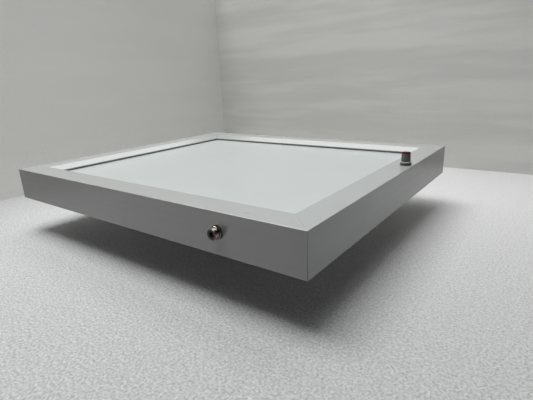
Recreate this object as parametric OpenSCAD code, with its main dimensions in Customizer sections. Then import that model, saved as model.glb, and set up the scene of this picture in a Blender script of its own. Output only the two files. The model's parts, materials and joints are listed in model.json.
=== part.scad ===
// X-ray film viewer: a mitred aluminium frame with an opal window, lit from behind by rows of lamps,
// with a power inlet in the front rail and a dimmer knob on the right rail.
// The origin is the centre of the rear plane. +X runs along the long rails, +Y to the hanging edge,
// +Z to the front.

/* [Frame] */
// Width of the frame, along the front and back rails
frame_w = 512; // [420:1:700]
// Depth of the frame, along the left and right rails
frame_d = 440; // [400:1:640]
// Height of the frame, rear edge to front face
frame_h = 45; // [44:0.5:60]
// Thickness of a rail's outer wall
wall_t = 1.6; // [1.2:0.1:2]
// Thickness of a rail's front flange
flange_t = 1.6; // [1.2:0.1:2]
// Width of the flat part of a rail's front
flat_w = 31; // [30:0.5:36]
// Width of the slope that leads down to the window
bevel_w = 9; // [7:0.5:12]
// Drop of the slope, front face to its lower edge
bevel_drop = 7; // [5:0.5:8]
// Upright lip under the slope's lower edge
nose_lip = 1.4; // [1:0.1:2]
// Width of the seat under the nose that presses on the gasket
nose_seat_w = 4.4; // [4:0.1:5]
// Clear width of the hollow that takes the corner keys
chamber_w = 22.8; // [22:0.1:23.4]
// Thickness of the web between the hollow and the window groove
web_t = 1.6; // [1.2:0.1:2]
// Thickness of the ledge that carries the window
ledge_t = 1.4; // [1.2:0.1:1.8]
// Reach of the ledge past the web
ledge_reach = 10; // [8:0.5:12]
// Width of the rear flange that the back panel is screwed to, from the outer face
rear_flange_w = 10; // [9.4:0.1:10.2]
// Thickness of the rear flange
rear_flange_t = 2.4; // [1.8:0.1:3]
// Radius of the outer edges of a rail
edge_r = 0.5; // [0.2:0.1:1]
// Half of the joint between two rails at the front face
mitre_gap_front = 0.08; // [0.02:0.01:0.1]
// Half of the joint between two rails at the rear edge, where it stands open
mitre_gap_rear = 0.3; // [0.1:0.05:0.5]

/* [Window] */
// Thickness of the opal window
panel_t = 3; // [2:0.5:4]
// Play between the window's edge and the web
panel_clear = 0.6; // [0.3:0.1:1]
// Thickness of the gasket between window and nose
gasket_t = 1.8; // [1:0.1:2.5]
// Width of the gasket
gasket_w = 3.2; // [2.6:0.1:3.6]
// Set-back of the gasket behind the nose's lip
gasket_inset = 0.6; // [0.3:0.1:1]

/* [Corner keys] */
// Length of each leg of a corner key
key_leg = 55; // [50:1:70]
// Play around a corner key in the hollow
key_clear = 0.2; // [0.1:0.05:0.4]
// Distance of a key screw from the frame's corner
key_screw_pos = 44; // [36:1:46]
// Wall left around the hollows of a corner key
key_wall = 2.6; // [2:0.2:3.4]
// Width of the solid block around a key screw
key_block = 13; // [11:0.5:14]
// Radius of a key screw's thread
key_screw_r = 2; // [1.5:0.25:2.5]
// Length of a key screw under its head
key_screw_l = 8; // [6:0.5:10]

/* [Back panel] */
// Thickness of the back panel
back_t = 2; // [1.8:0.1:2.6]
// Play between the back panel and the rails
back_clear = 0.3; // [0.1:0.1:0.5]
// Number of screws in the front and the back rail each
long_screws = 4; // [2:1:6]
// Number of screws in the left and the right rail each
short_screws = 3; // [2:1:5]
// Distance of the outermost screws from the frame's corner
back_screw_end = 60; // [50:1:80]
// Distance of the screws from the frame's outer face
back_screw_in = 6; // [5.6:0.1:6.4]
// Radius of a back panel screw's thread
back_screw_r = 1.5; // [1.25:0.05:1.75]
// Radius of its countersunk head
back_screw_head_r = 2.8; // [2.4:0.1:3]
// Length of a back panel screw
back_screw_l = 6.4; // [5:0.1:8]
// Distance between the two keyholes
keyhole_span = 320; // [200:1:340]
// Distance of a keyhole's round entry from the frame's outer face
keyhole_in = 20; // [19.4:0.1:20.4]
// Radius of a keyhole's round entry
keyhole_entry_r = 4.5; // [4:0.1:4.8]
// Half the width of a keyhole's slot
keyhole_slot_r = 2.3; // [2.05:0.05:2.6]
// Length of a keyhole's slot, entry centre to slot end centre
keyhole_slot_l = 6.8; // [6:0.1:7]

/* [Lamp tray] */
// Distance of the tray's walls from the frame's outer face
tray_in = 27; // [26.6:0.1:28]
// Thickness of the tray's sheet
tray_t = 1; // [0.8:0.1:1.5]
// Gap between the tray's rim and the window ledge
tray_rim_gap = 0.5; // [0.3:0.1:1]
// Distance between two lamp strips
strip_pitch = 40; // [24:0.5:44]
// Least distance of the outermost strips from the tray's walls
strip_side_gap = 32; // [24:1:40]
// Gap between a strip's ends and the tray's walls
strip_end_gap = 13; // [12:0.5:20]
// Width of a lamp strip
strip_w = 10; // [8:0.5:14]
// Thickness of a lamp strip
strip_t = 1; // [0.6:0.1:1.6]
// Distance between two lamps
lamp_pitch = 27; // [20:0.5:60]
// Least distance of the outermost lamps from a strip's ends
lamp_end_gap = 12.5; // [12.5:0.5:30]
// Length of a lamp
lamp_l = 3.5; // [2.8:0.1:4.4]
// Width of a lamp
lamp_w = 2.8; // [2:0.1:5]
// Height of a lamp
lamp_h = 0.8; // [0.6:0.1:2]

/* [Power inlet] */
// Distance of the inlet from the middle of the front rail
jack_x = 156.3; // [60:0.1:170]
// Gap between the inlet's flange and the window ledge above it
jack_gap = 0.2; // [0.1:0.05:1]
// Radius of the inlet's threaded barrel
jack_r = 5.5; // [5.2:0.1:5.8]
// Wall of the barrel
jack_wall = 0.9; // [0.7:0.1:1.1]
// Reach of the barrel in front of the rail
jack_reach = 8; // [7:0.5:10]
// Radius of the inlet's round nut
jack_nut_r = 6.9; // [6.7:0.1:7.1]
// Thickness of the inlet's nut
jack_nut_t = 2.4; // [2:0.1:3]
// Radius of the hole that takes the plug
plug_hole_r = 2.9; // [2.7:0.1:3.2]
// Radius of the centre pin
plug_pin_r = 1.05; // [0.9:0.05:1.25]
// Length of the centre pin inside the plug hole
plug_pin_l = 8.6; // [7:0.1:9]

/* [Dimmer] */
// Distance of the dimmer's axis from the middle of the right rail
dimmer_y = 51.8; // [0:0.1:90]
// Distance of the dimmer's axis from the frame's outer face
dimmer_in = 10.1; // [10.1:0.05:10.6]
// Radius of the dimmer's shaft
shaft_r = 3; // [2.9:0.05:3.05]
// Running clearance of the shaft in its bushing
shaft_play = 0.05; // [0.03:0.01:0.08]
// Radius of the dimmer's threaded bushing
bushing_r = 3.5; // [3.4:0.05:3.7]
// Length of the bushing above its plate
bushing_l = 7; // [6.5:0.1:7.4]
// Radius of the dimmer's metal can
can_r = 8.2; // [8:0.05:8.3]
// Height of the metal can
can_h = 6.1; // [6.1:0.1:6.8]
// Distance across the flats of the dimmer's nut
pot_nut_af = 10; // [9.4:0.1:10.4]
// Thickness of the dimmer's nut
pot_nut_t = 2; // [1.5:0.1:2.2]
// Radius of the knob's skirt
skirt_r = 7.3; // [7.2:0.1:9]
// Height of the knob's skirt up to its slope
skirt_h = 3.8; // [3.4:0.1:4.2]
// Radius of the knob's grip at its foot
grip_foot_r = 6; // [5.6:0.1:6.2]
// Radius of the knob's grip at its head
grip_head_r = 5.6; // [5.2:0.1:5.7]
// Height of the knob without its cap
knob_h = 15.3; // [15:0.1:18]
// Height of the knob's cap
cap_h = 1.2; // [0.8:0.1:2]
// Gap between the knob and the rail
knob_gap = 0.5; // [0.3:0.1:0.8]
// Number of flutes around the knob's grip
flute_count = 18; // [12:1:24]

/* [Dimmer board] */
// Length of the board, along the right rail
board_l = 60; // [56:1:80]
// Width of the board
board_w = 14; // [13.6:0.1:14.6]
// Thickness of the board
board_t = 1.6; // [1:0.1:2]
// Distance of the board's middle in front of the right rail's middle
board_y = 85; // [70:1:88]
// Height of the spacers under the board
spacer_h = 5; // [4:0.5:7]
// Thickness of a supply lead
supply_lead_d = 1.8; // [1.4:0.1:2]
// Thickness of a lamp lead
lamp_lead_d = 1.6; // [1.2:0.1:1.8]
// Thickness of a dimmer lead
pot_lead_d = 1.4; // [1:0.1:1.6]

/* [Hidden] */
$fn = 64;

// Overrun of every cut past the surface it opens
over = 0.5;
// Radial play of a screw or rivet in its hole
hole_play = 0.05;
// Gap left where a lead's end meets the piece it is soldered or clamped to
lead_touch = 0.1;

// Heights of the rail's steps
nose_z = frame_h - bevel_drop - nose_lip;
panel_top_z = nose_z - gasket_t;
ledge_z = panel_top_z - panel_t;
ledge_under_z = ledge_z - ledge_t;
flange_under_z = frame_h - flange_t;

// Distances from the rail's outer face
web_out = wall_t + chamber_w;
web_in = web_out + web_t;
face_w = flat_w + bevel_w;
ledge_in = web_in + ledge_reach;
bevel_skin = flange_t * sqrt(1 + pow(bevel_drop / bevel_w, 2));
seat_in = face_w - nose_seat_w;
seat_root_z = frame_h - bevel_drop * (seat_in - flat_w) / bevel_w - bevel_skin;
flange_end = flat_w - (bevel_skin - flange_t) * bevel_w / bevel_drop;

// Mitres
mitre_tilt = atan((mitre_gap_rear - mitre_gap_front) / frame_h);
mitre_cut = 4 * face_w;

// Corner keys
key_h = flange_under_z - ledge_z - 2 * key_clear;
key_z = ledge_z + key_clear;
key_out = wall_t + key_clear;
key_in = web_out - key_clear;
key_mid = (key_out + key_in) / 2;
key_screw_head_r = 2 * key_screw_r;
key_screw_head_h = 1.3 * key_screw_r;

// Back panel
back_half_w = frame_w / 2 - wall_t - back_clear;
back_half_d = frame_d / 2 - wall_t - back_clear;
back_sink_h = back_screw_head_r - back_screw_r;
recess_w = 0.5;
recess_d = 1;
keyhole_y = frame_d / 2 - keyhole_in;

// Lamp tray
tray_half_w = frame_w / 2 - tray_in;
tray_half_d = frame_d / 2 - tray_in;
tray_top_z = ledge_under_z - tray_rim_gap;
tray_floor_z = back_t + tray_t;
strip_top_z = tray_floor_z + strip_t;
strip_l = 2 * (tray_half_w - tray_t - strip_end_gap);
strip_rows = floor(2 * (tray_half_d - tray_t - strip_side_gap) / strip_pitch) + 1;
strip_reach = strip_pitch * (strip_rows - 1) / 2;
lamp_count = floor((strip_l - 2 * lamp_end_gap) / lamp_pitch) + 1;
lamp_reach = lamp_pitch * (lamp_count - 1) / 2;
rivet_x = (strip_l / 2 + tray_half_w - tray_t) / 2;
rivet_rows = 3;
rivet_y_share = 0.725;
rivet_r = 1.6;
rivet_head_r = 3;
rivet_crown_r = 2.1;
rivet_head_h = 1;
tap_l = 9;
tap_w = 7;
tap_h = 4;
tap_bite = 2;
tap_edge = 1;
tap_x = strip_l / 2 - tap_l / 2 - tap_edge;
lead_pair = 4;
lead_z = strip_top_z + tap_h / 2;

// Grommet where the lamp leads leave the tray
grommet_pair = 2.2;
grommet_step = 12.5;
grommet_rise = 5.5;
grommet_y = -(strip_reach + tap_w / 2 + grommet_step);
grommet_z = tray_floor_z + grommet_rise;
grommet_bore_r = 2.2;
grommet_neck_r = 3.2;
grommet_rim_r = 4.4;
grommet_rim_t = 1;

// Power inlet
front_y = -frame_d / 2;
nut_crown = 0.35;
nut_knurl_count = 40;
nut_knurl_r = 0.3;
nut_knurl_d = 0.22;
inlet_washer_t = 0.6;
inlet_washer_r = 7.3;
inlet_flange_r = 6.2;
inlet_flange_t = 2;
inlet_tail_r = 5.2;
inlet_tail_l = 6;
insulator_back = 2;
insulator_play = 0.02;
insulator_inset = 0.3;
plug_tip_inset = 1.2;
plug_stub = 4;
pin_root_step = 0.4;
pin_root_stand = 0.3;
pin_root_r = plug_pin_r + pin_root_step;
inlet_tag_w = 2.4;
inlet_tag_t = 0.5;
inlet_tag_l = 5;
thread_pitch = 0.75;
thread_depth = 0.35;
jack_z = ledge_under_z - inlet_flange_r - jack_gap;
inlet_inner_r = jack_r - jack_wall;
inlet_tail_y = front_y + wall_t + inlet_flange_t + inlet_tail_l;
pin_back_y = inlet_tail_y + insulator_back + plug_stub;
tag_end_y = inlet_tail_y + inlet_tag_l;
tag_z = jack_z - inlet_tail_r + inlet_tag_t / 2;

// Dimmer
dimmer_x = frame_w / 2 - dimmer_in;
pot_plate_gap = 0.15;
pot_plate_half = dimmer_in - wall_t - pot_plate_gap;
pot_plate_t = 1.2;
wafer_t = 1.2;
wafer_hole_r = 3.4;
wafer_reach = 15;
wafer_tail_w = 13;
track_t = 0.1;
track_in_r = 5.2;
track_out_r = 7;
track_turn = 300;
tag_pitch = 5;
tag_w = 2.2;
tag_t = 0.5;
tag_start = 8.5;
tag_reach = 18;
can_t = 0.4;
pot_washer_t = 0.5;
pot_washer_r = 5.6;
wiper_hub_r = 4.4;
wiper_hub_h = 1.8;
wiper_gap = 0.6;
wiper_arm_w = 3;
wiper_arm_t = 0.6;
wiper_tip_r = 0.9;
wiper_contact_r = 0.5;
wiper_play = 0.1;
shaft_foot = 1.2;
shaft_flat = 1.5;
socket_play = 0.02;
knob_roof = 2.2;
skirt_wall = 1.2;
skirt_slope_h = 0.6;
nut_room = 0.8;
bushing_room = 0.4;
cap_chamfer = 0.4;
cap_rim_gap = 0.05;
cap_plug_r = 4.2;
cap_plug_l = 1.6;
mark_w = 1;
mark_d = 0.25;
skirt_line_z = 1.9;
skirt_line_h = 0.35;
skirt_line_d = 0.25;
flute_r = 0.62;
flute_bite = 0.3;
plate_z = flange_under_z - pot_plate_t;
wafer_z = plate_z - wafer_t;
can_z = wafer_z - can_h;
knob_z = frame_h + knob_gap;
knob_top_z = knob_z + knob_h;
bushing_top_z = flange_under_z + bushing_l;
shaft_top_z = knob_top_z - knob_roof - wiper_play;
skirt_room_h = pot_washer_t + pot_nut_t - knob_gap + nut_room;
access_room = 2;
access_half = can_r + access_room;
access_front = tag_reach + access_room;

// Dimmer board
board_x = frame_w / 2 - (rear_flange_w + tray_in) / 2;
board_z = back_t + spacer_h;
board_top_z = board_z + board_t;
spacer_r = 2.5;
spacer_foot = 1;
spacer_span_w_share = 0.64;
board_screw_r = 1;
board_screw_head_r = 1.9;
board_screw_head_h = 1.4;
board_screw_l = 2.6;
board_screw_gap = 1.09;
terminal_l = 7;
terminal_h = 8.5;
terminal_well = 2.5;
terminal_well_r = 1.25;
board_screw_in = terminal_l + board_screw_gap + board_screw_head_r;
ways = [-1.5, -0.5, 0.5, 1.5];
header_l = 5;
header_w = 9;
header_h = 6;
header_pitch = 2.5;
clamp_z_share = 0.36;
board_front_y = -board_y - board_l / 2;
board_rear_y = -board_y + board_l / 2;
clamp_z = board_top_z + terminal_h * clamp_z_share;
way_pitch = board_w / len(ways);
part_shares = [0.3, 0.5, 0.64, 0.76];
capacitor_r = 4;
capacitor_groove_z = 2;
capacitor_groove_r = 0.4;
capacitor_h = 11;
inductor_w = 8;
inductor_h = 4.5;
inductor_well = 0.9;
inductor_well_r = 2.8;
chip_step = 6.4;
chip_w = 4;
chip_l = 5;
chip_h = 1.6;
resistor_step = 3.2;
resistor_l = 2;
resistor_w = 1.25;
resistor_h = 0.6;

// Routes of the leads, as steps from the pieces they join
supply_r = supply_lead_d / 2;
lamp_r = lamp_lead_d / 2;
pot_r = pot_lead_d / 2;
bend = 3;
floor_run = 26;
saddle_run = 44;
lead_sides = 8;
bend_steps = 4;
supply_step = 3;
run_gap = 1;
red_run_y = pin_back_y + bend + run_gap;
black_run_y = red_run_y - supply_step;
saddle_t = 1;
saddle_foot = 0.8;
saddle_l = 6;
saddle_play = 0.3;

// Helpers

function unit(v) = v / norm(v);

// An arc that rounds the corner b of the route a, b, c
function corner_arc(a, b, c) =
    let (p = b + unit(a - b) * min(bend, norm(a - b) / 2.2),
         q = b + unit(c - b) * min(bend, norm(c - b) / 2.2))
    [for (i = [0 : bend_steps]) let (t = i / bend_steps)
        p * pow(1 - t, 2) + b * 2 * t * (1 - t) + q * pow(t, 2)];

// A route with every inner corner rounded
function rounded_route(pts) = [
    pts[0],
    for (i = [1 : len(pts) - 2]) each corner_arc(pts[i - 1], pts[i], pts[i + 1]),
    pts[len(pts) - 1]
];

function tangents(p) = [
    for (i = [0 : len(p) - 1]) unit(p[min(i + 1, len(p) - 1)] - p[max(i - 1, 0)])
];

// Side vectors carried along the route without twist
function sides_along(t, i, last) = i == len(t) ? [] :
    let (s = unit(last - t[i] * (last * t[i])))
    concat([s], sides_along(t, i + 1, s));

// A round lead along a route
module lead(route, r) {
    p = rounded_route(route);
    t = tangents(p);
    s = sides_along(t, 0, abs(t[0][2]) > 0.5 ? [1, 0, 0] : [0, 0, 1]);
    n = lead_sides;
    last = len(p) - 1;
    rings = [for (i = [0 : last]) for (k = [0 : n - 1])
        p[i] + s[i] * r * cos(360 * k / n) + cross(t[i], s[i]) * r * sin(360 * k / n)];
    walls = [for (i = [0 : last - 1]) for (k = [0 : n - 1])
        let (a = i * n + k, b = i * n + (k + 1) % n)
        each [[a, b + n, b], [a, a + n, b + n]]];
    ends = [for (k = [1 : n - 2])
        each [[0, k, k + 1], [last * n, last * n + k + 1, last * n + k]]];
    polyhedron(points = rings, faces = concat(walls, ends));
}

// Children at the four corners of a rectangle
module at_corners(half_x, half_y) {
    for (sx = [-1, 1], sy = [-1, 1])
        translate([sx * half_x, sy * half_y, 0])
            children();
}

// Evenly spread places along a line of half length reach
function spread(count, reach) = [for (i = [0 : count - 1]) reach * (2 * i / (count - 1) - 1)];

// Places of the back panel's screws
back_screw_places = [
    for (x = spread(long_screws, frame_w / 2 - back_screw_end), s = [-1, 1])
        [x, s * (frame_d / 2 - back_screw_in)],
    for (y = spread(short_screws, frame_d / 2 - back_screw_end), s = [-1, 1])
        [s * (frame_w / 2 - back_screw_in), y]
];

// Places of the rivets that join tray and back panel
rivet_places = [
    for (y = spread(rivet_rows, (tray_half_d - tray_t) * rivet_y_share), s = [-1, 1])
        [s * rivet_x, y]
];

// A hexagon across flats
module hexagon(af) {
    circle(r = af / 2 / cos(30), $fn = 6);
}

// Rails

// What a rounded outer edge takes away from a square corner at the origin
module edge_cut(r) {
    difference() {
        translate([-over, -over])
            square([r + over, r + over]);
        translate([r, r])
            circle(r = r);
    }
}

// Section of a rail: x is the distance inwards from the outer face, y the height
module rail_section() {
    difference() {
        polygon([
            [0, 0],
            [0, frame_h],
            [flat_w, frame_h],
            [face_w, frame_h - bevel_drop],
            [face_w, nose_z],
            [seat_in, nose_z],
            [seat_in, seat_root_z],
            [flange_end, flange_under_z],
            [web_in, flange_under_z],
            [web_in, ledge_z],
            [ledge_in, ledge_z],
            [ledge_in, ledge_under_z],
            [wall_t, ledge_under_z],
            [wall_t, back_t + rear_flange_t],
            [rear_flange_w, back_t + rear_flange_t],
            [rear_flange_w, back_t],
            [wall_t, back_t],
            [wall_t, 0]
        ]);
        translate([wall_t, ledge_z])
            square([chamber_w, flange_under_z - ledge_z]);
        edge_cut(edge_r);
        translate([0, frame_h])
            mirror([0, 1])
                edge_cut(edge_r);
    }
}

// The half space beyond the mitre at the rail's far end
module mitre(length) {
    translate([length / 2, 0, frame_h])
        rotate([0, 0, 45])
            translate([-mitre_gap_front, 0, 0])
                rotate([0, mitre_tilt, 0])
                    translate([0, -mitre_cut / 2, -frame_h - mitre_cut / 4])
                        cube([mitre_cut, mitre_cut, frame_h + mitre_cut / 2]);
}

// A rail along X with its outer face on y = 0 and its inner side towards +Y
module rail(length, screws) {
    difference() {
        rotate([90, 0, 90])
            linear_extrude(height = length, center = true)
                rail_section();
        mitre(length);
        mirror([1, 0, 0])
            mitre(length);
        for (s = [-1, 1])
            translate([s * (length / 2 - key_screw_pos), key_mid, ledge_under_z - over])
                cylinder(r = key_screw_r + hole_play, h = ledge_t + 2 * over);
        for (x = spread(screws, length / 2 - back_screw_end))
            translate([x, back_screw_in, back_t - over])
                cylinder(r = back_screw_r + hole_play, h = rear_flange_t + 2 * over);
    }
}

// Places a rail on one side of the frame
module on_front() translate([0, front_y, 0]) children();
module on_back() translate([0, -front_y, 0]) rotate([0, 0, 180]) children();
module on_right() translate([frame_w / 2, 0, 0]) rotate([0, 0, 90]) children();
module on_left() translate([-frame_w / 2, 0, 0]) rotate([0, 0, -90]) children();

module front_rail() {
    color("silver")
        difference() {
            on_front()
                rail(frame_w, long_screws);
            translate([jack_x, front_y - over, jack_z])
                rotate([-90, 0, 0])
                    cylinder(r = jack_r + hole_play, h = wall_t + 2 * over);
        }
}

module right_rail() {
    color("silver")
        difference() {
            on_right()
                rail(frame_d, short_screws);
            translate([dimmer_x, dimmer_y, flange_under_z - over])
                cylinder(r = bushing_r + hole_play, h = flange_t + 2 * over);
            // Way in for the dimmer and its leads, through the hollow's lower wall
            translate([frame_w / 2 - web_out, dimmer_y - access_front, ledge_under_z - over])
                cube([chamber_w, access_front + access_half, ledge_t + 2 * over]);
        }
}

module back_rail() {
    color("silver")
        on_back()
            rail(frame_w, long_screws);
}

module left_rail() {
    color("silver")
        on_left()
            rail(frame_d, short_screws);
}

// Corner keys

// One leg of a key's lightening hollow, between its corner and its screw block
module key_hollow() {
    inner = key_in + key_wall;
    translate([inner, key_out + key_wall, key_z + key_wall])
        cube([
            key_screw_pos - key_block / 2 - inner,
            key_in - key_out - 2 * key_wall,
            key_h
        ]);
}

// A key in the corner of the quadrant x > 0, y > 0
module corner_key() {
    difference() {
        translate([0, 0, key_z])
            linear_extrude(height = key_h)
                polygon([
                    [key_out, key_out],
                    [key_leg, key_out],
                    [key_leg, key_in],
                    [key_in, key_in],
                    [key_in, key_leg],
                    [key_out, key_leg]
                ]);
        key_hollow();
        mirror([1, -1, 0])
            key_hollow();
        for (p = [[key_screw_pos, key_mid], [key_mid, key_screw_pos]])
            translate([p[0], p[1], key_z - over])
                cylinder(r = key_screw_r + hole_play, h = key_screw_l + over);
    }
}

// Children in all four corners of the frame, drawn from the corner inwards
module in_frame_corners() {
    for (sx = [0, 1], sy = [0, 1])
        mirror([sx, 0, 0])
            mirror([0, sy, 0])
                translate([-frame_w / 2, -frame_d / 2, 0])
                    children();
}

module corner_keys() {
    color("gainsboro")
        in_frame_corners()
            corner_key();
}

module key_screw() {
    translate([0, 0, ledge_under_z - key_screw_head_h])
        cylinder(r = key_screw_head_r, h = key_screw_head_h);
    translate([0, 0, ledge_under_z - key_screw_head_h / 2])
        cylinder(r = key_screw_r, h = key_screw_l + key_screw_head_h / 2);
}

module corner_key_screws() {
    color("dimgray")
        in_frame_corners()
            for (p = [[key_screw_pos, key_mid], [key_mid, key_screw_pos]])
                translate([p[0], p[1], 0])
                    key_screw();
}

// Window

module window_gasket() {
    outer = face_w - gasket_inset - gasket_w;
    inner = face_w - gasket_inset;
    color("black")
        translate([0, 0, panel_top_z])
            linear_extrude(height = gasket_t)
                difference() {
                    square([frame_w - 2 * outer, frame_d - 2 * outer], center = true);
                    square([frame_w - 2 * inner, frame_d - 2 * inner], center = true);
                }
}

module window_panel() {
    side = 2 * (web_in + panel_clear);
    color("aliceblue")
        translate([0, 0, ledge_z])
            linear_extrude(height = panel_t)
                square([frame_w - side, frame_d - side], center = true);
}

// Back panel

// A keyhole with its entry centred on the origin and its slot towards +Y
module keyhole() {
    cylinder(r = keyhole_entry_r, h = back_t + 2 * over);
    translate([-keyhole_slot_r, 0, 0])
        cube([2 * keyhole_slot_r, keyhole_slot_l, back_t + 2 * over]);
    translate([0, keyhole_slot_l, 0])
        cylinder(r = keyhole_slot_r, h = back_t + 2 * over);
}

module back_panel() {
    color("whitesmoke")
        difference() {
            translate([-back_half_w, -back_half_d, 0])
                cube([2 * back_half_w, 2 * back_half_d, back_t]);
            for (p = back_screw_places)
                translate([p[0], p[1], 0]) {
                    translate([0, 0, -over])
                        cylinder(r = back_screw_r + hole_play, h = back_t + 2 * over);
                    translate([0, 0, -hole_play])
                        cylinder(
                            r1 = back_screw_head_r + 2 * hole_play,
                            r2 = back_screw_r + hole_play,
                            h = back_sink_h + 2 * hole_play
                        );
                }
            for (p = rivet_places)
                translate([p[0], p[1], -over])
                    cylinder(r = rivet_r + hole_play, h = back_t + 2 * over);
            for (s = [-1, 1])
                translate([s * keyhole_span / 2, keyhole_y, -over])
                    keyhole();
        }
}

module back_panel_screws() {
    color("lightgray")
        for (p = back_screw_places)
            translate([p[0], p[1], 0])
                difference() {
                    union() {
                        cylinder(r1 = back_screw_head_r, r2 = back_screw_r, h = back_sink_h);
                        cylinder(r = back_screw_r, h = back_screw_l);
                    }
                    // Cross recess
                    for (a = [0, 90])
                        rotate([0, 0, a])
                            translate([-back_screw_r, -recess_w / 2, -over])
                                cube([2 * back_screw_r, recess_w, over + recess_d]);
                }
}

// Lamp tray and lamps

module lamp_tray() {
    color("white")
        difference() {
            translate([-tray_half_w, -tray_half_d, back_t])
                cube([2 * tray_half_w, 2 * tray_half_d, tray_top_z - back_t]);
            translate([tray_t - tray_half_w, tray_t - tray_half_d, tray_floor_z])
                cube([
                    2 * (tray_half_w - tray_t),
                    2 * (tray_half_d - tray_t),
                    tray_top_z - tray_floor_z + over
                ]);
            for (p = rivet_places)
                translate([p[0], p[1], back_t - over])
                    cylinder(r = rivet_r + hole_play, h = tray_t + 2 * over);
            translate([tray_half_w - tray_t - over, grommet_y, grommet_z])
                rotate([0, 90, 0])
                    cylinder(r = grommet_neck_r + hole_play, h = tray_t + 2 * over);
        }
}

module lamp_tray_rivets() {
    color("gray")
        for (p = rivet_places)
            translate([p[0], p[1], 0]) {
                cylinder(r = rivet_r, h = tray_floor_z + rivet_head_h / 2);
                translate([0, 0, tray_floor_z])
                    cylinder(r1 = rivet_head_r, r2 = rivet_crown_r, h = rivet_head_h);
            }
}

// Children on every strip's middle line
module on_strips() {
    for (y = spread(strip_rows, strip_reach))
        translate([0, y, 0])
            children();
}

module lamp_strips() {
    color("white")
        on_strips()
            translate([-strip_l / 2, -strip_w / 2, tray_floor_z])
                cube([strip_l, strip_w, strip_t]);
}

module lamps() {
    color("khaki")
        on_strips()
            for (x = spread(lamp_count, lamp_reach))
                translate([x - lamp_l / 2, -lamp_w / 2, strip_top_z])
                    cube([lamp_l, lamp_w, lamp_h]);
}

module strip_connectors() {
    color("ivory")
        on_strips()
            difference() {
                translate([tap_x - tap_l / 2, -tap_w / 2, strip_top_z])
                    cube([tap_l, tap_w, tap_h]);
                for (s = [-1, 1])
                    translate([tap_x + s * lead_pair / 2, -tap_w / 2 - over, lead_z])
                        rotate([-90, 0, 0])
                            cylinder(r = lamp_r + hole_play, h = tap_w + 2 * over);
            }
}

// A lamp lead: along the strips, out through the grommet and up to the board; side is -1 or 1
module lamp_lead(side) {
    x = tap_x + side * lead_pair / 2;
    last_y = strip_reach + tap_w / 2 + tap_bite;
    out_y = grommet_y + side * grommet_pair / 2;
    way_x = board_x + way_pitch * (side < 0 ? ways[3] : ways[2]);
    rise_y = board_front_y - floor_run / 2;
    lead([
        [x, last_y, lead_z],
        [x, out_y + grommet_rise, lead_z],
        [x, out_y, grommet_z],
        [way_x, out_y, grommet_z],
        [way_x, rise_y, grommet_z],
        [way_x, rise_y + bend, clamp_z],
        [way_x, board_front_y - lead_touch, clamp_z]
    ], lamp_r);
}

module lamp_lead_red() {
    color("firebrick")
        lamp_lead(1);
}

module lamp_lead_black() {
    color("black")
        lamp_lead(-1);
}

module lead_grommet() {
    color("black")
        translate([tray_half_w - tray_t / 2, grommet_y, grommet_z])
            rotate([0, 90, 0])
                difference() {
                    union() {
                        cylinder(r = grommet_neck_r, h = tray_t, center = true);
                        for (s = [-1, 1])
                            translate([0, 0, s * (tray_t + grommet_rim_t) / 2])
                                cylinder(r = grommet_rim_r, h = grommet_rim_t, center = true);
                    }
                    cylinder(r = grommet_bore_r, h = tray_t + 2 * grommet_rim_t + over, center = true);
                }
}

// Power inlet, drawn along +Z from the rail's outer face into the frame

module on_inlet() {
    translate([jack_x, front_y, jack_z])
        rotate([-90, 0, 0])
            children();
}

module inlet_barrel() {
    groove_count = floor((jack_reach - 2 * thread_pitch) / thread_pitch);
    color("tan")
        on_inlet()
            rotate_extrude()
                difference() {
                    union() {
                        translate([inlet_inner_r, -jack_reach])
                            square([jack_wall, jack_reach + wall_t + inlet_flange_t]);
                        translate([inlet_inner_r, wall_t])
                            square([inlet_flange_r - inlet_inner_r, inlet_flange_t]);
                        translate([inlet_inner_r, wall_t])
                            square([inlet_tail_r - inlet_inner_r, inlet_flange_t + inlet_tail_l]);
                    }
                    // Thread grooves in front of the nut
                    for (i = [0 : groove_count])
                        translate([jack_r, -jack_reach + thread_pitch * (i + 1)])
                            polygon([
                                [-thread_depth, 0],
                                [over, -thread_pitch / 2],
                                [over, thread_pitch / 2]
                            ]);
                }
}

module inlet_nut() {
    color("tan")
        on_inlet()
            translate([0, 0, -inlet_washer_t - jack_nut_t])
                difference() {
                    rotate_extrude()
                        polygon([
                            [jack_r + hole_play, 0],
                            [jack_nut_r - nut_crown, 0],
                            [jack_nut_r, nut_crown],
                            [jack_nut_r, jack_nut_t],
                            [jack_r + hole_play, jack_nut_t]
                        ]);
                    // Knurl
                    for (i = [0 : nut_knurl_count - 1])
                        rotate([0, 0, 360 * i / nut_knurl_count])
                            translate([jack_nut_r + nut_knurl_r - nut_knurl_d, 0, -over])
                                cylinder(r = nut_knurl_r, h = jack_nut_t + 2 * over, $fn = 12);
                }
}

module inlet_washer() {
    color("tan")
        on_inlet()
            translate([0, 0, -inlet_washer_t])
                difference() {
                    cylinder(r = inlet_washer_r, h = inlet_washer_t);
                    translate([0, 0, -over])
                        cylinder(r = jack_r + hole_play, h = inlet_washer_t + 2 * over);
                }
}

module inlet_insulator() {
    front = insulator_inset - jack_reach;
    back = wall_t + inlet_flange_t + inlet_tail_l + insulator_back;
    color("black")
        on_inlet()
            difference() {
                translate([0, 0, front])
                    cylinder(r = inlet_inner_r - insulator_play, h = back - front);
                translate([0, 0, front - over])
                    cylinder(r = plug_hole_r, h = plug_tip_inset + plug_pin_l + over);
                translate([0, 0, front])
                    cylinder(r = pin_root_r + insulator_play, h = back - front + over);
            }
}

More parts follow.
